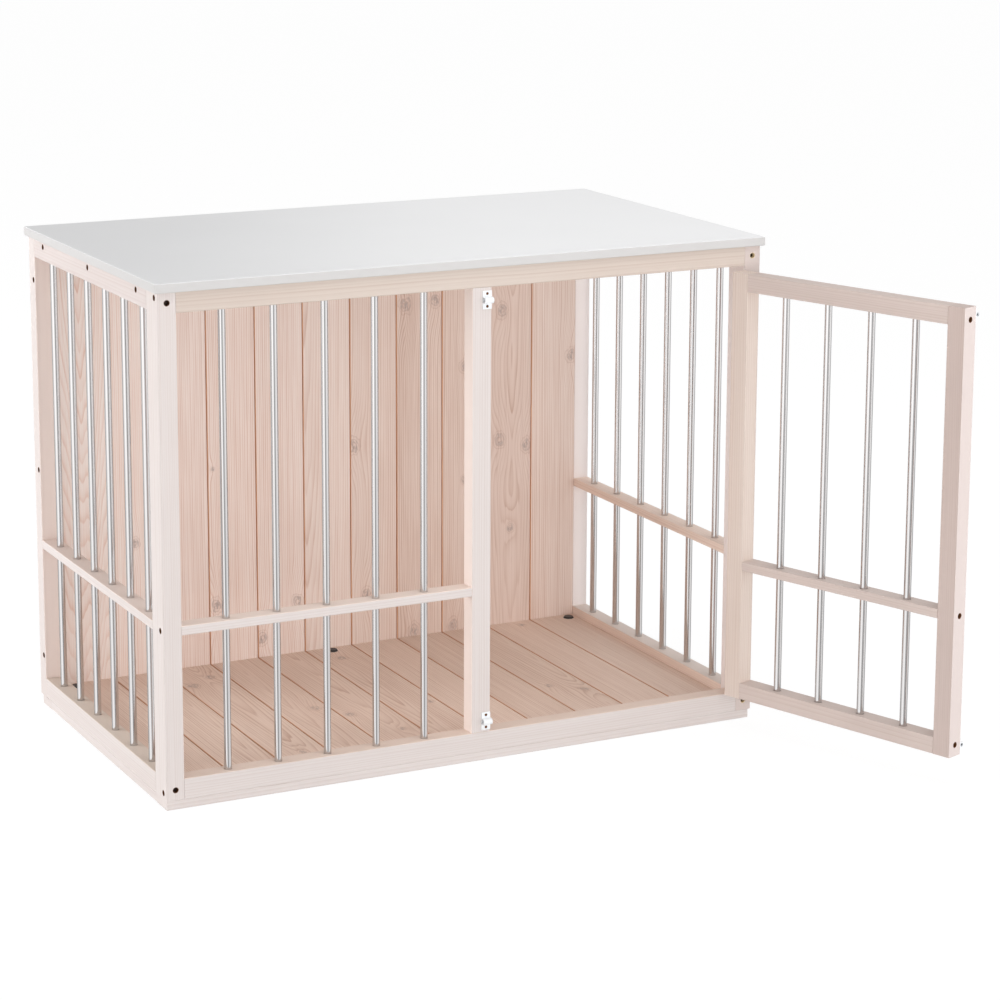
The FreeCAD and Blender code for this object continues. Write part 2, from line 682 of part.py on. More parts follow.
def fasten(node, through, into, face, first, second, grip="screw_grip"):
    """A screw sunk in one face of a timber, through it and into the end of the next one."""
    axis, far = FACES[face][1:3]
    run = "xyz".index(axis)
    flat = [index for index in range(3) if index != run]
    bore = "screw_diameter + 2 * screw_play"
    counterbore = ("head", "screw_head_diameter + 2 * screw_play", "screw_recess + screw_head_thick")
    cuts = ((through, counterbore), (through, ("shank", bore, TIMBERS[through][2][run])),
            (into, ("pilot", bore, f"{grip} + screw_play")))
    for label, cut in cuts:
        origin = TIMBERS[label][1]
        spot = tuple(f"{text} - ({origin[index]})" for text, index in zip((first, second), flat))
        holes.setdefault((label, face, *cut), []).append(spot)
    origin, size = TIMBERS[through][1:]
    centre = FreeCAD.Vector()
    for text, index in zip((first, second), flat):
        setattr(centre, "xyz"[index], number(text))
    inward = FreeCAD.Vector()
    setattr(inward, axis, -1 if far else 1)
    setattr(centre, axis, number(f"{origin[run]} + {size[run]}" if far else origin[run]))
    shape = screw_shape(size[run], grip)
    seat = centre + inward * number("screw_recess")
    shape.Placement = FreeCAD.Placement(seat, FreeCAD.Rotation(FreeCAD.Vector(0, 0, 1), inward))
    screws[node].append(shape)


# Screws of the crate: rails to posts, lid cleats to side rails, wall to rear posts, divider to its rails
rail_y = "front_y + rail_depth / 2"
divider_centre = "divider_x + divider_width / 2"
wall_screw_y = "wall_y + wall_board_thick / 2"
wall_levels = ("base_height + wall_screw_end", "(base_height + lid_level) / 2", "lid_level - wall_screw_end")
last_board = f"back_board_{int(number('board_count')):02d}"
for side, x, wall_board in (("left", "left_x + post_width / 2", "back_board_01"),
                            ("right", "right_x - post_width / 2", last_board)):
    for name, level, cross in (("top", "top_screw_level", "top_screw_level + screw_cross_shift"),
                               ("bottom", "bottom_screw_level", "bottom_screw_level - screw_cross_shift")):
        fasten("frame_screws", f"front_{side}_post", f"{side}_{name}_rail", "front", x, level)
        fasten("frame_screws", f"rear_{side}_post", f"{side}_{name}_rail", "back", x, level)
        fasten("frame_screws", f"front_{side}_post", f"front_{name}_rail", side, rail_y, cross)
    for y in ("side_start + cleat_screw_end", "side_start + side_length / 2",
              "side_start + side_length - cleat_screw_end"):
        fasten("frame_screws", f"{side}_top_rail", f"{side}_top_cleat", side,
               y, "lid_level - cleat_height / 2", "cleat_screw_grip")
    for level in wall_levels:
        fasten("frame_screws", f"rear_{side}_post", wall_board, side, wall_screw_y, level)
fasten("frame_screws", "front_left_post", "front_mid_rail", "left", rail_y, "mid_screw_level")
fasten("frame_screws", "divider_post", "front_mid_rail", "right", rail_y, "mid_screw_level")
fasten("frame_screws", "front_top_rail", "divider_post", "top", divider_centre, rail_y)
fasten("frame_screws", "front_bottom_rail", "divider_post", "bottom", divider_centre, rail_y)

# Screws of the door: stiles to the three rails
for stile_name, face in (("door_free_stile", "left"), ("door_hinge_stile", "right")):
    for name, level in (("top", "door_top - door_top_rail_height / 2 - door_screw_shift"),
                        ("mid", "door_mid_rail_level + door_mid_rail_height / 2"),
                        ("bottom", "door_bottom + door_bottom_rail_height / 2 + door_screw_shift")):
        fasten("door_screws", stile_name, f"door_{name}_rail", face, "hinge_offset + door_thick / 2", level)

for (label, face, name, diameter, depth), spots in holes.items():
    drill(label, face, spots, diameter, depth, "screw_sides", name)
for label, shapes in screws.items():
    node = doc.addObject("Part::Feature", label)
    node.Label = label
    node.Shape = Part.makeCompound(shapes)
    NODES[label] = node
turn = FreeCAD.Rotation(FreeCAD.Vector(0, 0, 1), number("door_open"))
hinge_point = FreeCAD.Vector(number("hinge_x"), number("hinge_y"), 0)
NODES["door_screws"].Placement = FreeCAD.Placement(hinge_point, turn)

doc.recompute()
for thing in doc.Objects:
    if "Invalid" in thing.State or "Error" in thing.State:
        raise RuntimeError(f"{thing.Label} failed: {thing.State}")
    if thing.TypeId == "PartDesign::Pocket" and thing.BaseFeature.Shape.Volume - thing.Shape.Volume < 1:
        raise RuntimeError(f"{thing.Label} cuts nothing")
for label, thing in NODES.items():
    if thing.Shape.isNull() or not thing.Shape.isValid() or not thing.Shape.Solids:
        raise RuntimeError(f"{label} has no sound shape")
os.makedirs("parts", exist_ok=True)
for label, thing in NODES.items():
    thing.Shape.exportStep(f"parts/{label}.step")
print(len(NODES), "sub-parts,", sum(len(thing.Shape.Solids) for thing in NODES.values()), "solids")
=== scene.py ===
import json
import math

import bpy
import numpy as np
from mathutils import Matrix, Vector


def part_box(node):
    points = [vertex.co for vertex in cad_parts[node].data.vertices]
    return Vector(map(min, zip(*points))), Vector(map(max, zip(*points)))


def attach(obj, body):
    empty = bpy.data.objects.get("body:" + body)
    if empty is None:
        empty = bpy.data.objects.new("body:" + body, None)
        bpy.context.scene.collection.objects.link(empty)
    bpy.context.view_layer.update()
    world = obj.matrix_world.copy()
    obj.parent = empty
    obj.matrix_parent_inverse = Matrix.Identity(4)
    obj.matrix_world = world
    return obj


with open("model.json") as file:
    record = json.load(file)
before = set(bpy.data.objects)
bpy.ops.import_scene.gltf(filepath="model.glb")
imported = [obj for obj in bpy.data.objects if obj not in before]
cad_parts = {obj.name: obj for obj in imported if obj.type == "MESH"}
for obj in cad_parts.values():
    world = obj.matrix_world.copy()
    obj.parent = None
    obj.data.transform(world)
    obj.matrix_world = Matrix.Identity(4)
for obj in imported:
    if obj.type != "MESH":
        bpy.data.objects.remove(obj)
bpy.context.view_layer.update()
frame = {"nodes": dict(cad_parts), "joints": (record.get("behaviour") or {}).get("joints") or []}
nodes = frame["nodes"]


# Frame timbers: posts, rails and the base under them, planed pine with a thin white stain.
# Straight-grained stock, so the growth rings show as faint fine lines along each length.
# Posts stand on the base battens and the rails are screwed between them.
class Value:
    """One socket of a finish. A sum written on it adds the Math node for that sum."""

    def __init__(self, finish, socket):
        self.finish = finish
        self.socket = socket

    def _math(self, operation, first, second):
        return self.finish.node("ShaderNodeMath", {"operation": operation}, {0: first, 1: second})

    def __add__(self, other):
        return self._math("ADD", self, other)

    def __radd__(self, other):
        return self._math("ADD", other, self)

    def __sub__(self, other):
        return self._math("SUBTRACT", self, other)

    def __rsub__(self, other):
        return self._math("SUBTRACT", other, self)

    def __mul__(self, other):
        return self._math("MULTIPLY", self, other)

    def __rmul__(self, other):
        return self._math("MULTIPLY", other, self)

    def __truediv__(self, other):
        return self._math("DIVIDE", self, other)

    def __rtruediv__(self, other):
        return self._math("DIVIDE", other, self)

    def __pow__(self, other):
        return self._math("POWER", self, other)

    def __rpow__(self, other):
        return self._math("POWER", other, self)


class Nodes:
    """A node tree that is built one node at a time."""

    def __init__(self, tree):
        self.tree = tree

    def node(self, kind, settings=None, inputs=None, output=0):
        """Adds a node: its settings first, then each socket's value or link. Gives one output, if any.
        The setting named stops fills a ramp with pairs of position and colour."""
        made = self.tree.nodes.new(kind)
        for name, value in (settings or {}).items():
            if name == "stops":
                stops = made.color_ramp.elements
                for place, _ in value[len(stops):]:
                    stops.new(place)
                for stop, (place, tint) in zip(stops, value):
                    stop.position, stop.color = place, tint
            else:
                setattr(made, name, value)
        for socket, value in (inputs or {}).items():
            self.join(made.inputs[socket], value)
        return Value(self, made.outputs[output]) if made.outputs else None

    def join(self, socket, value):
        """Links a value to a socket, or sets a plain number or colour on it."""
        if isinstance(value, Value):
            self.tree.links.new(value.socket, socket)
        else:
            socket.default_value = value

    def mixed(self, amount, first, second):
        """The first colour turning into the second as amount goes from 0 to 1."""
        colours = {"data_type": "RGBA", "clamp_factor": True}
        return self.node("ShaderNodeMix", colours, {0: amount, 6: first, 7: second}, output=2)

    def noise(self, vector, detail=2.0, roughness=0.5):
        """Noise at scale 1 on a vector that already carries its scale, from 0 to 1."""
        held = {"Vector": vector, "Scale": 1.0, "Detail": detail, "Roughness": roughness}
        return self.node("ShaderNodeTexNoise", {"noise_dimensions": "3D"}, held)

    def grain(self, scale, detail=2.0):
        """Even noise over the piece, at a scale in cells to the metre."""
        place = self.node("ShaderNodeTexCoord", output="Object")
        scaled = self.node("ShaderNodeVectorMath", {"operation": "SCALE"}, {0: place, 3: scale})
        return self.noise(scaled, detail)

    def smooth(self, value, low, high):
        """A soft step: 0 where the value is at low, 1 where it is at high."""
        limits = {0: value, 1: low, 2: high, 3: 0.0, 4: 1.0}
        return self.node("ShaderNodeMapRange", {"interpolation_type": "SMOOTHSTEP"}, limits)

    def smaller(self, first, second):
        """The lower of two values."""
        return self.node("ShaderNodeMath", {"operation": "MINIMUM"}, {0: first, 1: second})

    def unary(self, operation, value):
        """One of the Math node's functions of a single value."""
        return self.node("ShaderNodeMath", {"operation": operation}, {0: value})


class Finish(Nodes):
    """A material with one Principled shader."""

    def __init__(self, name, roughness=0.5, metallic=0.0):
        self.material = bpy.data.materials.new(name)
        self.material.use_nodes = True
        super().__init__(self.material.node_tree)
        self.shader = self.tree.nodes["Principled BSDF"]
        self.set("Roughness", roughness)
        self.set("Metallic", metallic)

    def set(self, name, value):
        """Sets or links one socket of the shader."""
        self.join(self.shader.inputs[name], value)

    def bump(self, height, strength, distance):
        """Feeds the shader's Normal with a height field."""
        held = {"Height": height, "Strength": strength, "Distance": distance}
        self.set("Normal", self.node("ShaderNodeBump", {}, held))


def colour(code):
    """A colour from its six-digit screen code, as linear light."""
    screen = np.array([int(code[i : i + 2], 16) for i in (0, 2, 4)]) / 255.0
    linear = np.where(screen <= 0.04045, screen / 12.92, ((screen + 0.055) / 1.055) ** 2.4)
    return (*linear.tolist(), 1.0)


# The door is shut at its hinge's low limit, so at rest it stands open by as much.
hinge = next(joint for joint in frame["joints"] if joint["name"] == "door_hinge")
DOOR_TURN = math.radians(-hinge["range_deg"][0])
HINGE_AXIS = hinge["pos_m"][:2]


def timber_axes(finish, along, on_door):
    """Across, through and along a timber, in metres, as three values.
    A door timber is read in the door's own axes: moved to the hinge line and turned back shut."""
    place = finish.node("ShaderNodeTexCoord", output="Object")
    if on_door:
        c, s = math.cos(DOOR_TURN), math.sin(DOOR_TURN)
        x, y = HINGE_AXIS
        shut = {"Location": (-(c * x + s * y), s * x - c * y, 0.0), "Rotation": (0.0, 0.0, -DOOR_TURN)}
        place = finish.node("ShaderNodeMapping", {"vector_type": "POINT"}, {"Vector": place, **shut})
    split = finish.node("ShaderNodeSeparateXYZ", {}, {0: place})
    sockets = split.socket.node.outputs
    x, y, z = (Value(finish, sockets[i]) for i in range(3))
    return {"x": (y, z, x), "y": (x, z, y), "z": (x, y, z)}[along]


# The bore wall colour is painted shade: dark brown in the screw holes.
KNOT_CORE, KNOT_RIPPLE, SHADED_BORE_WALL = "AC9A95", "A57C68", "6A4326"
FACE_SKIN, EDGE_LINE = (0.0012, 0.0003), 0.0008
BORE_RADIUS, BORE_BLUR = 0.00475, 0.0004


def knotted(finish, across, length, ragged, knots):
    """How far knots push the rings out, and their cores and rims, from 0 to 1. A knot is an oval whose
    reach is its distance in its own radius, made ragged by noise. The core fills the inside, and the rim
    is thin ripples that follow the cube of the way from one to the next."""
    push, core, rim = 0.0, 0.0, 0.0
    for spot, along_at, size in knots:
        u, v = (across - spot) / size, (length - along_at) / (size * 1.3)
        reach = finish.unary("SQRT", u * u + v * v) + ragged * 0.9
        push = finish.unary("EXPONENT", (u * u + v * v * 0.25) * -0.3) * (size * 1.1) + push
        core = finish.smooth(reach, 1.05, 0.35) + core
        ripple = finish.unary("FRACT", reach * 2.6)
        crest = ripple**3.0 * finish.smooth(ripple, 1.0, 0.85)
        rim = finish.smooth(reach, 1.5, 0.9) * crest + rim
    return push, core, rim


def sawn_softwood(name, along, stain, pith, seed, ring=0.0034, taper=0.0, wander=0.006, depth=0.36,
                  knots=(), edges=None, bores=(), bore_wall=SHADED_BORE_WALL, face=None, on_door=False):
    """Softwood as it is sawn. Growth rings are cones round a pith line that runs along the timber,
    pushed about by slow noise and by closer noise that varies their width. Tone rises as the cube of the
    way through a ring and falls at once at its end, more in some rings than in others. Fibres are noise
    drawn out along the timber. Each knot is a patchy grey oval with thin ripples round it, and pushes the
    rings aside. Where edges are given, as low, high, a stain and how far it has crept in, it has gathered
    along both of them. A bore is given as side, place and place along, and its wall is painted a colour
    of its own: dark as painted shade in the hole, or pale as painted light. Where a face is given, as side,
    place and tone, that face is painted paler as painted light or darker as painted shade. Side 0 is
    measured across the timber, and side 1 through it."""
    pale, dark = stain
    finish = Finish(name, roughness=0.58)
    across, through, length = timber_axes(finish, along, on_door)

    def stretched(scale, run, shift):
        parts = {0: across * scale + shift, 1: through * scale + shift * 0.7, 2: length * run + shift * 1.3}
        return finish.node("ShaderNodeCombineXYZ", {}, parts)

    slow = finish.noise(stretched(9.0, 1.6, seed), 2.0) - 0.5
    close = finish.noise(stretched(70.0, 1.1, seed + 3.0), 1.0) - 0.5
    fibre = finish.noise(stretched(560.0, 7.0, seed + 5.0), 3.0, 0.62)
    blotch = finish.noise(stretched(14.0, 3.0, seed + 9.0), 2.0)
    a, t = across - pith[0], through - pith[1]
    if taper:
        t = t + (length - pith[2]) * taper
    radius = finish.unary("SQRT", a * a + t * t) + slow * wander + close * (ring * 2.0)
    if knots:
        ragged = finish.noise(stretched(130.0, 60.0, seed + 2.0), 3.0) - 0.5
        push, core, rim = knotted(finish, across, length, ragged, knots)
        radius = radius + push
    count = radius / ring
    part = finish.unary("FRACT", count)
    number = finish.unary("FLOOR", count) + seed
    late = finish.node("ShaderNodeTexWhiteNoise", {"noise_dimensions": "1D"}, {"W": number})
    rings = part**3.0 * finish.smooth(part, 1.0, 0.86) * (0.35 + late * 0.65)
    tone = rings * 1.5 + finish.smooth(fibre, 0.34, 0.72) * 0.34 + finish.smooth(blotch, 0.3, 0.75) * 0.2
    wood = finish.mixed(tone * depth, colour(pale), colour(dark))
    if knots:
        streak = finish.smooth(finish.noise(stretched(330.0, 120.0, seed + 6.0), 2.0), 0.4, 0.62)
        wood = finish.mixed(core * (0.1 + streak * 0.62), wood, colour(KNOT_CORE))
        wood = finish.mixed(rim * 0.6, wood, colour(KNOT_RIPPLE))
    # A given face is painted a tone of its own: painted light where it is paler, painted shade where it is
    # darker.
    if face:
        side, at, painted_tone = face
        away = finish.unary("ABSOLUTE", (across, through)[side] - at)
        wood = finish.mixed(finish.smooth(away, *FACE_SKIN) * 0.88, wood, colour(painted_tone))
    if edges:
        low, high, gathered, creep = edges
        edge = finish.smaller(across - low, high - across)
        wood = finish.mixed(finish.smooth(edge, creep, EDGE_LINE) * 0.82, wood, colour(gathered))
    # Bore walls are painted: dark brown as painted shade in the hole, or pale as painted light where given.
    if bores:
        near = 1.0
        for side, at, along_at in bores:
            u, v = (across, through)[side] - at, length - along_at
            near = finish.smaller(finish.unary("SQRT", u * u + v * v), near)
        inside = finish.smooth(near, BORE_RADIUS + BORE_BLUR, BORE_RADIUS)
        wood = finish.mixed(inside, wood, colour(bore_wall))
    finish.set("Base Color", wood)
    finish.set("Roughness", 0.5 + fibre * 0.16)
    finish.bump(fibre * 0.6 + rings * 0.4, 0.1, 0.0005)
    return finish.material


def dress(name, material):
    """Gives a CAD node its finish."""
    held = nodes[name].data.materials
    held.clear()
    held.append(material)


# Stains beside the frame stain are lit and shaded copies of it: the top rails darker as painted shade under
# the top, the front right post paler as painted light, the right rails and cleats warmer as painted warm
# bounce light in their shade.
FRAME_STAIN, TOP_RAIL_SHADED_STAIN = ("DAD2CF", "C0ACA4"), ("D1C4BA", "B19789")
LIT_POST_STAIN, BOUNCE_WARMED_STAIN = ("FBF2EF", "E2CDC5"), ("FBE7DA", "D6B4A1")
LIT_AND_SHADED_STAINS = {
    "front_top_rail": TOP_RAIL_SHADED_STAIN,
    "left_top_rail": ("D4CAC7", "BAA69E"),
    "front_right_post": LIT_POST_STAIN,
    **dict.fromkeys(("right_top_rail", "right_mid_rail", "right_bottom_rail", "top_cleats"), BOUNCE_WARMED_STAIN),
}
FRAME_TIMBERS = {
    "z": ("front_left_post", "front_right_post", "rear_left_post", "rear_right_post", "divider_post"),
    "x": (
        "front_top_rail",
        "front_mid_rail",
        "front_bottom_rail",
        "base_front_batten",
        "base_back_batten",
    ),
    "y": (
        "left_top_rail",
        "left_mid_rail",
        "left_bottom_rail",
        "right_top_rail",
        "right_mid_rail",
        "right_bottom_rail",
        "top_cleats",
        "base_cross_battens",
    ),
}
# Faces painted paler than the rest of their timber as painted light, or duller as painted shade, and a bore
# wall painted pale as painted light.
PAINTED_FACE_TONES = {
    "front_mid_rail": ("top", "F4E2D7"),
    "left_mid_rail": ("top", "F0DED4"),
    "front_bottom_rail": ("top", "E4CFC1"),
    "left_bottom_rail": ("top", "DECEC0"),
    "right_bottom_rail": ("top", "E2D6CE"),
    "divider_post": ("left", "F0E0D8"),
    "front_right_post": ("front", "CCBDB7"),
    "rear_right_post": ("front", "FDF3F0"),
    "rear_left_post": ("front", "FEEBE2"),
}
# The front right post's bore walls are painted pale: painted light falling into its holes.
LIT_BORE_WALLS = {"front_right_post": "F0DDB8"}


def painted_face_tone(name):
    """Side, place and tone of a face painted paler as painted light or darker as painted shade, or None
    where there is none.
    """
    if name not in PAINTED_FACE_TONES:
        return None
    facing, stain = PAINTED_FACE_TONES[name]
    low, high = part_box(name)
    return {"top": (1, high.z), "front": (1, low.y), "left": (0, low.x)}[facing] + (stain,)


def centre(name):
    """The middle of a node's box."""
    low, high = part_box(name)
    return (low + high) / 2


def screw_row(low, high, inset):
    """Places of three screws along a length: the middle, and an inset from each end."""
    return (low + inset, (low + high) / 2, high - inset)


# Screws from the side pass clear of those from the front by a stagger.
SIDE_STAGGER, WALL_SCREW_INSET, CLEAT_SCREW_INSET = 0.007, 0.074, 0.046
POST_MIDDLE, RAIL_MIDDLE = centre("front_right_post").x, centre("front_top_rail").y
TOP_LEVEL, MID_LEVEL, BOTTOM_LEVEL = (centre(f"front_{rail}_rail").z for rail in ("top", "mid", "bottom"))
SIDE_LEVELS = (TOP_LEVEL + SIDE_STAGGER, MID_LEVEL, BOTTOM_LEVEL - SIDE_STAGGER)
WALL_FOOT, WALL_TOP = (corner.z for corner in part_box("back_board_01"))
CLEAT_FRONT, CLEAT_BACK = (corner.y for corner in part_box("top_cleats"))
WALL_LEVELS = screw_row(WALL_FOOT, WALL_TOP, WALL_SCREW_INSET)
CLEAT_PLACES = screw_row(CLEAT_FRONT, CLEAT_BACK, CLEAT_SCREW_INSET)
FRONT_BORES = [(0, x, z) for x in (-POST_MIDDLE, POST_MIDDLE) for z in (TOP_LEVEL, BOTTOM_LEVEL)]
RAIL_BORES = [(1, RAIL_MIDDLE, z) for z in SIDE_LEVELS]
WALL_BORES = [(1, centre("back_board_01").y, z) for z in WALL_LEVELS]
CLEAT_BORES = [(1, centre("top_cleats").z, y) for y in CLEAT_PLACES]
TIMBER_BORES = {
    **dict.fromkeys(("front_left_post", "front_right_post"), FRONT_BORES + RAIL_BORES),
    **dict.fromkeys(("rear_left_post", "rear_right_post"), FRONT_BORES + WALL_BORES),
    **dict.fromkeys(("left_top_rail", "right_top_rail"), CLEAT_BORES),
    "divider_post": RAIL_BORES,
}
PITH_ASIDE, ASIDE_STEP, PITH_BELOW, BELOW_STEP = 0.09, 0.03, 0.06, 0.02
for run, names in FRAME_TIMBERS.items():
    for order, name in enumerate(names):
        heart = centre(name)
        across_at, through_at = {"x": heart.yz, "y": heart.xz, "z": heart.xy}[run]
        pith = (
            across_at + PITH_ASIDE - ASIDE_STEP * (order % 3),
            through_at - PITH_BELOW - BELOW_STEP * (order % 2),
        )
        stain = LIT_AND_SHADED_STAINS.get(name, FRAME_STAIN)
        grain = sawn_softwood(
            f"stained_{name}", run, stain, pith, 3.7 * order + 1.3, bores=TIMBER_BORES.get(name, ()),
            bore_wall=LIT_BORE_WALLS.get(name, SHADED_BORE_WALL), face=painted_face_tone(name),
        )
        dress(name, grain)


# Bars: drawn aluminium rod with a satin anodised skin, set in blind holes in the top and bottom rails.
# Drawing leaves very fine lines along each bar, so the roughness is streaked lengthwise.
def drawn_aluminium(name):
    """Metal whose roughness follows noise drawn out along the bar."""
    finish = Finish(name, metallic=1.0)
    place = finish.node("ShaderNodeTexCoord", output="Object")
    fine = (2600.0, 2600.0, 6.0)
    drawn = finish.node("ShaderNodeVectorMath", {"operation": "MULTIPLY"}, {0: place, 1: fine})
    lines = finish.noise(drawn, 2.0)
    finish.set("Base Color", finish.mixed(lines, colour("CAC8C8"), colour("D1CFCF")))
    finish.set("Roughness", 0.1 + lines * 0.04)
    return finish.material


satin_bar = drawn_aluminium("satin_bar")
for name in ("front_bars", "left_bars", "right_bars", "door_bars"):
    dress(name, satin_bar)


# Back wall: eleven matched pine boards standing side by side, tongue in groove, stained thinly.
# Most are rift-sawn and straight in the grain, a few flat-sawn with arches, and the knots are placed
# board by board as distance from the board's middle, height and size.
BOARDS = range(1, 12)
HALF_COVER, JOINT_CREEP = 0.0462, 0.0018
HEART_DEPTH, STRAIGHT_HEART = 0.004, 0.17
STRAIGHT_RING, STRAIGHT_WANDER, ARCH_WANDER = 0.0038, 0.01, 0.014
# END_BOARD is paler than the other boards: partly the end boards' own tone, partly painted light for the
# left end of the wall.
LIGHT_BOARD, DARK_BOARD, END_BOARD = ("FEEFE7", "D9B09C"), ("EAD6CB", "BE957F"), ("FEF1EA", "E3B9A5")
WALL_SHADES = dict(zip(BOARDS[2:], (0.12, 0.0, 0.0, 0.25, 0.6, 0.97, 1.05, 1.15, 0.62)))
WALL_KNOTS = {
    2: ((0.000, 0.274, 0.009),),
    4: ((-0.034, 0.140, 0.012), (-0.037, 0.393, 0.004)),
    5: ((0.031, 0.129, 0.011), (-0.038, 0.068, 0.011)),
    7: ((-0.040, 0.408, 0.013), (-0.016, 0.125, 0.011)),
    8: ((-0.028, 0.660, 0.014), (0.032, 0.663, 0.011), (-0.012, 0.044, 0.012)),
    9: ((-0.001, 0.536, 0.010), (-0.023, 0.043, 0.012), (-0.001, 0.320, 0.007)),
    10: ((-0.016, 0.634, 0.012), (-0.021, 0.389, 0.012), (0.036, 0.374, 0.012), (0.003, 0.218, 0.008)),
    11: ((0.037, 0.537, 0.011),),
}
WALL_ARCHES = {
    1: (-0.006, 0.9, 0.1),
    6: (-0.044, 0.95, 0.035),
    7: (-0.058, 0.7, 0.035),
    10: (0.004, 1.0, 0.035),
}


def blended(share, first, second):
    """A stain between two others, as a six-digit screen code."""
    ends = [[int(code[i : i + 2], 16) for i in (0, 2, 4)] for code in (first, second)]
    return "".join(f"{round(a + (b - a) * share):02X}" for a, b in zip(*ends))


def matched_board(name, board, along, surface, stain, seed, knots, arches, arch_ring, depths, joint):
    """Softwood for one matched board. An arched board is flat-sawn: its arch gives how far the heart lies
    from the board's middle, where along the board the rings close on it, and how fast they do. In the
    others the heart lies well to one side, so the grain is straight. Stain has gathered at the joints."""
    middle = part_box(name)[0].x + HALF_COVER
    heart, apex, taper = arches.get(board, (STRAIGHT_HEART * (-1) ** board, 0.0, 0.0))
    arched = board in arches
    return sawn_softwood(
        f"stained_{name}", along, stain, (middle + heart, surface, apex), seed,
        ring=arch_ring if arched else STRAIGHT_RING, taper=taper,
        wander=ARCH_WANDER if arched else STRAIGHT_WANDER, depth=depths["arched" if arched else "straight"],
        knots=[(middle + spot, at, size) for spot, at, size in knots.get(board, ())],
        edges=(middle - HALF_COVER, middle + HALF_COVER, joint, JOINT_CREEP),
    )


for board in BOARDS:
    name = f"back_board_{board:02d}"
    stain = END_BOARD
    if board in WALL_SHADES:
        stain = [blended(WALL_SHADES[board], *ends) for ends in zip(LIGHT_BOARD, DARK_BOARD)]
    grain = matched_board(
        name, board, "z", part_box(name)[0].y + HEART_DEPTH, stain, 11.3 * board,
        WALL_KNOTS, WALL_ARCHES, arch_ring=0.0042, depths={"arched": 0.6, "straight": 0.72}, joint="DDA073",
    )
    dress(name, grain)


# Floor: eleven matched boards laid front to back between the side rails, stained as the wall is.
# Flat-sawn with long arches, most on the left half. Black plastic caps close screw holes at the wall.
# The darker stain on boards 8, 9 and 11 is painted shade on the right of the floor.
FLOOR_STAIN, SHADED_FLOOR_STAIN = ("F0DACB", "AD7E64"), ("EAD4C5", "A97B61")
SHADED_FLOOR_BOARDS = (8, 9, 11)
FLOOR_KNOTS = {
    3: ((-0.029, 0.177, 0.012), (0.017, 0.212, 0.010), (0.005, -0.234, 0.008)),
    4: ((0.021, -0.031, 0.011),),
    5: ((-0.031, -0.088, 0.010), (0.018, -0.197, 0.007)),
    6: ((0.031, -0.084, 0.008), (-0.004, 0.215, 0.010)),
    9: ((-0.020, -0.096, 0.008), (0.027, -0.139, 0.010)),
    10: ((0.016, 0.259, 0.008),),
}
FLOOR_TAPER = 0.04
FLOOR_ARCHES = {
    2: (0.02, 0.3, FLOOR_TAPER),
    3: (0.01, 0.5, FLOOR_TAPER),
    4: (-0.01, 0.42, FLOOR_TAPER),
    5: (0.012, 0.55, FLOOR_TAPER),
    6: (-0.02, 0.4, FLOOR_TAPER),
    9: (0.03, 0.5, FLOOR_TAPER),
}
for board in BOARDS:
    name = f"floor_board_{board:02d}"
    stain = SHADED_FLOOR_STAIN if board in SHADED_FLOOR_BOARDS else FLOOR_STAIN
    grain = matched_board(
        name, board, "y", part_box(name)[1].z - HEART_DEPTH, stain, 7.9 * board + 2.0,
        FLOOR_KNOTS, FLOOR_ARCHES, arch_ring=0.0046, depths={"arched": 0.5, "straight": 0.5}, joint="C0845A",
    )
    dress(name, grain)

moulded = Finish("black_cap")
speckle = moulded.grain(900.0)
moulded.set("Base Color", moulded.mixed(speckle, colour("141414"), colour("232323")))
moulded.set("Roughness", 0.36 + speckle * 0.14)
dress("floor_caps", moulded.material)


# Top: a white laminated board with banded edges. Cleats screwed to the side rails hold it from below.
# The laminate is satin, with a very fine orange-peel in the skin.
TOP_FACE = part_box("top_board")[1].z
BAND_START, BAND_FULL = 0.0004, 0.0014
laminate = Finish("white_laminate")
peel = laminate.grain(700.0)
sheet = laminate.mixed(laminate.grain(5.0), colour("E5E5E6"), colour("E9E9EA"))
place = laminate.node("ShaderNodeTexCoord", output="Object")
height = laminate.node("ShaderNodeSeparateXYZ", {}, {0: place}, output=2)
banding = laminate.smooth(height, TOP_FACE - BAND_START, TOP_FACE - BAND_FULL)
laminate.set("Base Color", laminate.mixed(banding, sheet, colour("CAC8C7")))
laminate.set("Roughness", 0.27 + peel * 0.1)
laminate.bump(peel, 0.05, 0.0002)
dress("top_board", laminate.material)


# Door: stiles and rails of the same stained stock, hung on the right post and standing open.
# The grain follows the door's own axes, so it turns with the timbers.
# The door stains are darker than the frame's: painted shade on the open door, partly its own darker wood,
# darkest on the free stile. The free stile's end face is painted paler as painted light.
DOOR_SHADED_STAINS = {"door_hinge_stile": ("DDCEC4", "BDA192"), "door_free_stile": ("C9B8B1", "A98F84")}
DOOR_SHADED_STAIN = ("D1C2BB", "B1968A")
DOOR_GAP, DOOR_STAGGER = 0.002, 0.005
DOOR_FREE_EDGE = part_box("divider_post")[1].x + DOOR_GAP - HINGE_AXIS[0]
LIT_DOOR_END = (0, DOOR_FREE_EDGE, "DCCFCB")
DOOR_MIDDLE = RAIL_MIDDLE - HINGE_AXIS[1]
DOOR_LEVELS = (
    centre("door_top_rail").z - DOOR_STAGGER,
    centre("door_mid_rail").z,
    centre("door_bottom_rail").z + DOOR_STAGGER,
)
DOOR_BORES = [(1, DOOR_MIDDLE, z) for z in DOOR_LEVELS]
DOOR_PITHS = {
    "z": {"door_hinge_stile": (-0.12, -0.07), "door_free_stile": (-0.07, -0.07)},
    "x": {"door_top_rail": (-0.05, 0.9), "door_mid_rail": (-0.05, 0.5), "door_bottom_rail": (-0.05, 0.1)},
}
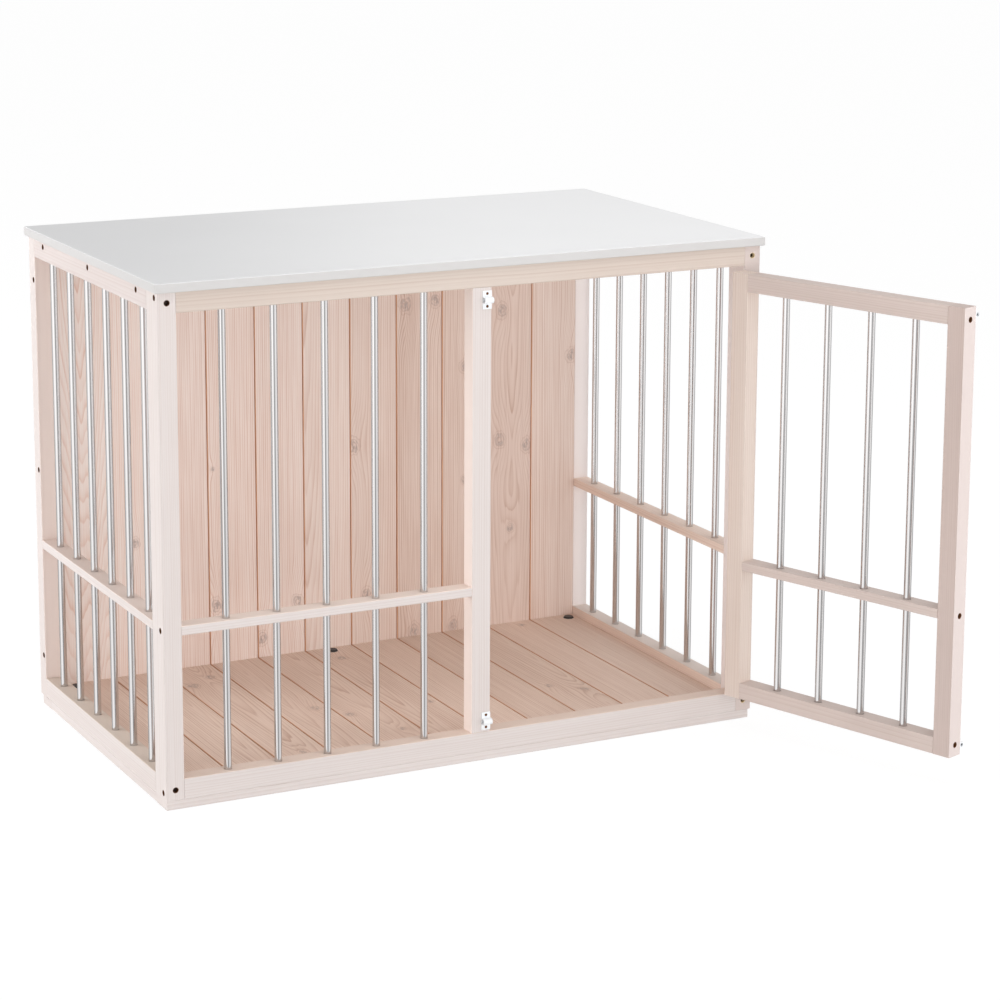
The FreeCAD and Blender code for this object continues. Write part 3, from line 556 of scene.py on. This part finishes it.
for run, piths in DOOR_PITHS.items():
    for order, (name, pith) in enumerate(piths.items()):
        grain = sawn_softwood(
            f"stained_{name}", run, DOOR_SHADED_STAINS.get(name, DOOR_SHADED_STAIN), pith, 5.1 * order + 40.0,
            bores=DOOR_BORES if run == "z" else (), face=LIT_DOOR_END if name == "door_free_stile" else None,
            on_door=True,
        )
        dress(name, grain)


# Fittings: butt hinges in bright zinc, slide bolts in darker steel, keepers and bolt housings painted
# white, held by small raised-head screws. The long frame screws sit deep in their holes, coloured near black
# as painted shade.
def plated_steel(name, light, dark, roughness, metallic):
    """Plating or paint: a cloudy tone over the surface, and roughness that follows it."""
    finish = Finish(name, metallic=metallic)
    cloud = finish.grain(160.0, 3.0)
    finish.set("Base Color", finish.mixed(cloud, colour(dark), colour(light)))
    finish.set("Roughness", roughness - 0.05 + cloud * 0.1)
    return finish.material


bright_zinc = plated_steel("bright_zinc", "B9BCBF", "94989D", 0.34, 1.0)
white_paint = plated_steel("white_paint", "F4F6F8", "EAEDF0", 0.3, 0.0)
# Near-black screw heads: painted shade for the dark of their deep holes.
dark_screw = plated_steel("dark_screw", "33211A", "140C08", 0.5, 0.3)
bolt_steel = plated_steel("bolt_steel", "5C6066", "3A3D42", 0.3, 1.0)
for name in ("hinge_post_leaves", "hinge_door_leaves", "hinge_pins"):
    dress(name, bright_zinc)
for name in ("upper_bolt", "lower_bolt"):
    dress(name, bolt_steel)
for name in ("bolt_housings", "latch_keepers"):
    dress(name, white_paint)
for name in ("frame_screws", "door_screws"):
    dress(name, dark_screw)


def screw_heads(name, spots, outward, radius, rise, body, material):
    """Raised screw heads on a flat plate. Each is a grid of rings by turns: the height falls from the rise
    at the middle as the square of the radius, less a cross slot that follows the sixth power of a
    four-lobed cosine and dies out at half the radius; the last ring goes down behind the plate, and a
    fan of triangles closes the middle and the underside."""
    rings, turns, sunk = 7, 24, -0.0004
    out = Vector(outward).normalized()
    side = Vector((0.0, 0.0, 1.0)).cross(out).normalized()
    up = out.cross(side)
    share = np.linspace(0.0, 1.0, rings)[1:, None]
    angle = (np.arange(turns) * (2 * np.pi / turns))[None, :]
    slot_depth = np.abs(np.cos(2 * angle)) ** 6 * np.clip(1.0 - (share / 0.55) ** 4, 0.0, 1.0)
    height = rise * (1.0 - share**2) - 0.6 * rise * slot_depth
    height[-1] = sunk
    reach = radius * share
    shell = np.stack([reach * np.cos(angle), reach * np.sin(angle), height], axis=-1).reshape(-1, 3)
    local = np.concatenate([shell, [(0.0, 0.0, 0.4 * rise), (0.0, 0.0, sunk)]])
    points = np.concatenate([np.array(spot) + local @ np.array([side, up, out]) for spot in spots])
    here, after = np.arange(turns), (np.arange(turns) + 1) % turns
    rows = (np.arange(rings - 2) * turns)[:, None]
    around = [rows + here, rows + turns + here, rows + turns + after, rows + after]
    quads = np.stack(around, axis=-1).reshape(-1, 4)
    rim, pole = (rings - 2) * turns, len(shell)
    crown = np.column_stack([np.full(turns, pole), here, after])
    underside = np.column_stack([np.full(turns, pole + 1), rim + after, rim + here])
    caps = np.concatenate([crown, underside])
    starts = np.arange(len(spots)) * len(local)
    faces = [(row + start).tolist() for start in starts for part in (quads, caps) for row in part]
    mesh = bpy.data.meshes.new(name)
    mesh.from_pydata(points.tolist(), [], faces)
    mesh.polygons.foreach_set("use_smooth", np.ones(len(faces), bool))
    mesh.materials.append(material)
    piece = bpy.data.objects.new(name, mesh)
    bpy.context.scene.collection.objects.link(piece)
    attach(piece, body)


def swung_open(x, y, z):
    """A point of the shut door, counted from the hinge line in metres, where the open door has it."""
    c, s = math.cos(DOOR_TURN), math.sin(DOOR_TURN)
    return (HINGE_AXIS[0] + x * c - y * s, HINGE_AXIS[1] + x * s + y * c, z)


small_screw = plated_steel("small_screw", "8A5A38", "4A2A18", 0.4, 1.0)
PLATE, KEEPER_HALF, LEAF_HALF = 0.0012, 0.015, 0.03
KEEPER_FOOT, KEEPER_TOP = (corner.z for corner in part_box("latch_keepers"))
LEAF_FOOT, LEAF_TOP = (corner.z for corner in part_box("hinge_post_leaves"))
BOLT_LEVELS = (KEEPER_TOP - KEEPER_HALF, KEEPER_FOOT + KEEPER_HALF)
HINGE_LEVELS = (LEAF_FOOT + LEAF_HALF, LEAF_TOP - LEAF_HALF)
POST_SIDE, POST_FRONT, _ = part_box("front_right_post")[0]
DOOR_FRONT = POST_FRONT - HINGE_AXIS[1]
DOOR_OUTWARD = (math.sin(DOOR_TURN), -math.cos(DOOR_TURN), 0.0)
DOOR_EDGEWARD = (math.cos(DOOR_TURN), math.sin(DOOR_TURN), 0.0)
KEEPER_MIDDLE, KEEPER_FACE, KEEPER_LIFT = 0.024, POST_FRONT - PLATE, 0.0105
keeper_spots = [
    (KEEPER_MIDDLE, KEEPER_FACE, level + lift)
    for level in BOLT_LEVELS
    for lift in (-KEEPER_LIFT, KEEPER_LIFT)
]
screw_heads(
    "keeper_screws", keeper_spots, (0.0, -1.0, 0.0), radius=0.0026, rise=0.001,
    body="crate", material=small_screw,
)
HOUSING_END, HOUSING_FACE, HOUSING_LIFT = -0.4725, DOOR_FRONT - PLATE, 0.009
housing_spots = [
    swung_open(HOUSING_END + run, HOUSING_FACE, level + lift)
    for level in BOLT_LEVELS
    for lift in (-HOUSING_LIFT, HOUSING_LIFT)
    for run in (0.007, 0.035)
]
screw_heads(
    "housing_screws", housing_spots, DOOR_OUTWARD, radius=0.0023, rise=0.001,
    body="door", material=small_screw,
)
LEAF_SCREWS = ((-0.021, 0.011), (0.0, 0.016), (0.021, 0.011))
LEAF_ROWS = [(level + lift, reach) for level in HINGE_LEVELS for lift, reach in LEAF_SCREWS]
POST_LEAF_FACE, DOOR_LEAF_FACE = POST_SIDE - PLATE, -DOOR_GAP / 2
post_spots = [(POST_LEAF_FACE, POST_FRONT + reach, height) for height, reach in LEAF_ROWS]
screw_heads(
    "post_leaf_screws", post_spots, (-1.0, 0.0, 0.0), radius=0.0026, rise=0.0003,
    body="crate", material=bright_zinc,
)
door_spots = [swung_open(DOOR_LEAF_FACE, DOOR_FRONT + reach, height) for height, reach in LEAF_ROWS]
screw_heads(
    "door_leaf_screws", door_spots, DOOR_EDGEWARD, radius=0.0026, rise=0.0003,
    body="door", material=bright_zinc,
)


# Studio: a pale floor, an even white surround, five broad soft lamps and the camera.
# The surround shows as plain white to the camera. In the metal it shows as two soft boxes with a dark
# gap between them and a dimmer room behind, and it lights the timber at a lower level.
CAMERA_PLACE = (-2.07829, -4.51133, 1.62205)
CAMERA_HEADING = math.radians(26.8647)
CAMERA_DIP = math.radians(11.5675)
CAMERA_ROLL = math.radians(-0.245)
FLOOR_HALF, FLOOR_LEVEL = 45.0, -0.0005
PAPER_GLOW, GLOW_SHARE = 1.06, 0.85
WHITE = (1.0, 1.0, 1.0, 1.0)
corners = np.array([(-1, -1), (1, -1), (1, 1), (-1, 1)], float) * FLOOR_HALF
floor_mesh = bpy.data.meshes.new("studio_floor")
floor_mesh.from_pydata(np.column_stack([corners, np.full(4, FLOOR_LEVEL)]).tolist(), [], [(0, 1, 2, 3)])
studio_floor = bpy.data.objects.new("studio_floor", floor_mesh)
bpy.context.scene.collection.objects.link(studio_floor)
paper = Finish("studio_paper", roughness=0.9)
paper.set("Base Color", colour("F4F4F4"))
glow = paper.node("ShaderNodeEmission", {}, {"Color": WHITE, "Strength": PAPER_GLOW})
plain = Value(paper, paper.shader.outputs[0])
seen = paper.node("ShaderNodeLightPath", output="Is Camera Ray") * GLOW_SHARE
shown = paper.node("ShaderNodeMixShader", {}, {0: seen, 1: plain, 2: glow})
mirrored = paper.node("ShaderNodeLightPath", output="Is Glossy Ray") + paper.node(
    "ShaderNodeLightPath", output="Is Transmission Ray"
)
through = paper.node("ShaderNodeBsdfTransparent")
shown = paper.node("ShaderNodeMixShader", {}, {0: mirrored, 1: shown, 2: through})
paper.join(paper.tree.nodes["Material Output"].inputs["Surface"], shown)
floor_mesh.materials.append(paper.material)

world = bpy.data.worlds.new("white_surround")
bpy.context.scene.world = world
world.use_nodes = True
world.node_tree.nodes.clear()
surround = Nodes(world.node_tree)
toward = surround.node("ShaderNodeTexCoord", output="Generated")
to_right = (math.cos(CAMERA_HEADING), -math.sin(CAMERA_HEADING), 0.0)
to_camera = (-math.sin(CAMERA_HEADING), -math.cos(CAMERA_HEADING), 0.0)


def reach_along(axis):
    """How far a direction in the surround points along an axis, from -1 to 1."""
    return surround.node("ShaderNodeVectorMath", {"operation": "DOT_PRODUCT"}, {0: toward, 1: axis}, "Value")


sides = {0: reach_along(to_right), 1: reach_along(to_camera)}
turn = surround.node("ShaderNodeMath", {"operation": "ARCTAN2"}, sides) / (2 * math.pi) + 0.5
REFLECTED = (
    (0.0, 0.74), (0.006, 0.73), (0.013, 0.46), (0.02, 0.34), (0.03, 0.34),
    (0.12, 0.36), (0.2, 0.46), (0.27, 0.64), (0.31, 0.88), (0.345, 1.0),
    (0.445, 1.0), (0.48, 0.74), (0.512, 0.3), (0.55, 0.3), (0.58, 0.52),
    (0.63, 0.62), (0.67, 0.84), (0.735, 0.86), (0.775, 0.5), (0.82, 0.36),
    (0.9, 0.3), (0.955, 0.3), (0.972, 0.68), (0.994, 0.71), (1.0, 0.74),
)
MIRROR_LOW, MIRROR_GAIN, MIRROR_STEP = 1.4, 0.34, (-0.29, -0.17)
LIGHT_LEVEL, SHOWN_LEVEL = 0.6, 1.0
boxes = [(place, (level, level, level, 1.0)) for place, level in REFLECTED]
reflected = surround.node("ShaderNodeValToRGB", {"stops": boxes}, {0: turn})
rise = surround.node("ShaderNodeSeparateXYZ", {}, {0: toward}, output=2)
mirror_level = MIRROR_LOW + surround.smooth(rise, *MIRROR_STEP) * MIRROR_GAIN
mirror = surround.node("ShaderNodeBackground", {}, {"Color": reflected, "Strength": mirror_level})
lit = surround.node("ShaderNodeBackground", {}, {"Color": WHITE, "Strength": LIGHT_LEVEL})
bare = surround.node("ShaderNodeBackground", {}, {"Color": WHITE, "Strength": SHOWN_LEVEL})
clear = surround.node("ShaderNodeLightPath", output="Is Camera Ray") + surround.node(
    "ShaderNodeLightPath", output="Is Transmission Ray"
)
mirrored = surround.node("ShaderNodeLightPath", output="Is Glossy Ray")
blend = surround.node("ShaderNodeMixShader", {}, {0: clear, 1: lit, 2: bare})
blend = surround.node("ShaderNodeMixShader", {}, {0: mirrored, 1: blend, 2: mirror})
surround.node("ShaderNodeOutputWorld", {}, {"Surface": blend})


def soft_lamp(name, place, aim, width, height, power):
    """A broad oblong lamp at a place, turned to face its aim, with its power in watts.
    The surround stands for it in reflections."""
    data = bpy.data.lights.new(name, "AREA")
    data.shape = "RECTANGLE"
    data.size, data.size_y = width, height
    data.energy = power
    lamp = bpy.data.objects.new(name, data)
    lamp.location = place
    lamp.rotation_mode = "QUATERNION"
    lamp.rotation_quaternion = (Vector(aim) - Vector(place)).to_track_quat("-Z", "Y")
    lamp.visible_glossy = False
    bpy.context.scene.collection.objects.link(lamp)


soft_lamp("left_lamp", (-5.2, 3.4, 1.5), (-0.4, 0.0, 0.4), 1.8, 1.8, 150.0)
soft_lamp("low_left_lamp", (-5.4, 2.6, 0.62), (-0.2, -0.1, 0.55), 1.6, 0.9, 96.0)
soft_lamp("low_front_lamp", (-0.1, -4.7, 0.68), (0.0, 0.0, 0.5), 2.4, 1.2, 68.0)
soft_lamp("high_front_lamp", (0.6, -1.6, 3.2), (0.1, -0.3, 0.2), 1.8, 1.2, 23.0)
soft_lamp("right_lamp", (3.2, -2.4, 1.5), (0.0, 0.0, 0.4), 1.8, 1.8, 15.0)

SENSOR_WIDTH, LENS_IN_WIDTHS, FRAME_SHIFT = 36.0, 2.96083, -0.13
camera = bpy.data.objects.new("photo_camera", bpy.data.cameras.new("photo_camera"))
camera.data.sensor_width = SENSOR_WIDTH
camera.data.lens = SENSOR_WIDTH * LENS_IN_WIDTHS
camera.data.shift_y = FRAME_SHIFT
ahead = np.array(
    [
        math.sin(CAMERA_HEADING) * math.cos(CAMERA_DIP),
        math.cos(CAMERA_HEADING) * math.cos(CAMERA_DIP),
        -math.sin(CAMERA_DIP),
    ]
)
level = np.array([math.cos(CAMERA_HEADING), -math.sin(CAMERA_HEADING), 0.0])
down = np.cross(ahead, level)
right = level * math.cos(CAMERA_ROLL) + down * math.sin(CAMERA_ROLL)
down = down * math.cos(CAMERA_ROLL) - level * math.sin(CAMERA_ROLL)
turned = Matrix(np.column_stack([right, -down, -ahead]).tolist()).to_4x4()
camera.matrix_world = Matrix.Translation(CAMERA_PLACE) @ turned
bpy.context.scene.collection.objects.link(camera)
bpy.context.scene.camera = camera
bpy.context.scene.view_settings.view_transform = "Standard"
